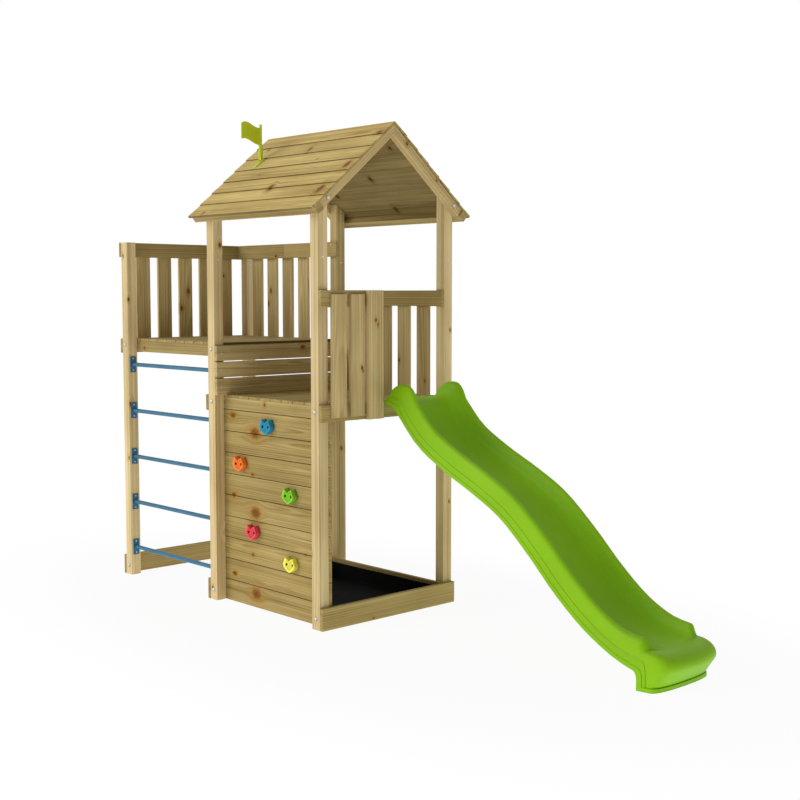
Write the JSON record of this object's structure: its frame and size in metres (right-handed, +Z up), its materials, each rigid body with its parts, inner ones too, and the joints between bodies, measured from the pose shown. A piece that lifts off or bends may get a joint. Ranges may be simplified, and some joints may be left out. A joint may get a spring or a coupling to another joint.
{
  "type": "wooden climbing frame",
  "caption": "Roofed wooden play tower with a raised balcony, ladder, climbing wall with holds, sandpit below and a wavy slide, for children to climb and slide.",
  "frame": {"origin": "centre of the part's box on the ground plane", "axes": "+X from the balcony towards the foot of the slide, +Y from the climbing wall towards the back, +Z up"},
  "size_m": [3.913, 1.163, 2.7624],
  "materials": {
    "timber": "planed, pressure-treated softwood",
    "slide_plastic": "satin moulded",
    "flag_plastic": "satin moulded",
    "rung_metal": "powder coated",
    "hold_blue": "moulded",
    "hold_orange": "moulded",
    "hold_green": "moulded",
    "hold_red": "moulded",
    "hold_yellow": "moulded",
    "liner": "woven ground sheet",
    "fixings": "zinc plated"
  },
  "bodies": {
    "frame": {"post_front_left": "timber", "post_front_right": "timber", "post_back_right": "timber", "post_back_left": "timber", "balcony_post_front": "timber", "balcony_post_back": "timber", "ground_beam_right": "timber", "ground_beam_back": "timber", "ground_beam_left": "timber", "ground_beam_balcony": "timber", "sandpit_liner": "liner", "deck_beam_right": "timber", "deck_beam_left": "timber", "deck_joist_front": "timber", "deck_joist_middle": "timber", "deck_joist_back": "timber", "deck_boards": "timber", "wall_boards": "timber", "infill_boards": "timber", "balcony_beam": "timber", "balcony_joist_front": "timber", "balcony_joist_middle": "timber", "balcony_joist_back": "timber", "balcony_boards": "timber", "rail_back": "timber", "rail_slide_side": "timber", "balcony_rail_left": "timber", "balcony_rail_back_left": "timber", "balcony_rail_back_right": "timber", "slats_back": "timber", "slats_slide_side": "timber", "slats_balcony_left": "timber", "slats_balcony_back": "timber", "slide_jamb": "timber", "rafter_right_front": "timber", "rafter_right_back": "timber", "rafter_left_front": "timber", "rafter_left_back": "timber", "eave_batten_front": "timber", "eave_batten_back": "timber", "roof_boards_front": "timber", "roof_boards_back": "timber", "rung_1": "rung_metal", "rung_2": "rung_metal", "rung_3": "rung_metal", "rung_4": "rung_metal", "rung_5": "rung_metal", "hold_blue": "hold_blue", "hold_orange": "hold_orange", "hold_green": "hold_green", "hold_red": "hold_red", "hold_yellow": "hold_yellow", "slide": "slide_plastic", "flag_base": "flag_plastic", "flag_pin": "fixings", "coach_screws": "fixings", "hold_bolts": "fixings"},
    "knuckle": {"flag_knuckle": "flag_plastic"},
    "flag": {"flag": "flag_plastic"}
  },
  "joints": [
    {"name": "flag_tilt", "type": "hinge", "parent": "frame", "child": "knuckle", "pos_m": [-0.84774, -0.19936, 2.55863], "axis": [1, 0, 0], "range_deg": [-20, 45]},
    {"name": "flag_turn", "type": "hinge", "parent": "knuckle", "child": "flag", "pos_m": [-0.84774, -0.19936, 2.55863], "axis": [0, 0, 1], "range_deg": [-90, 90]}
  ]
}
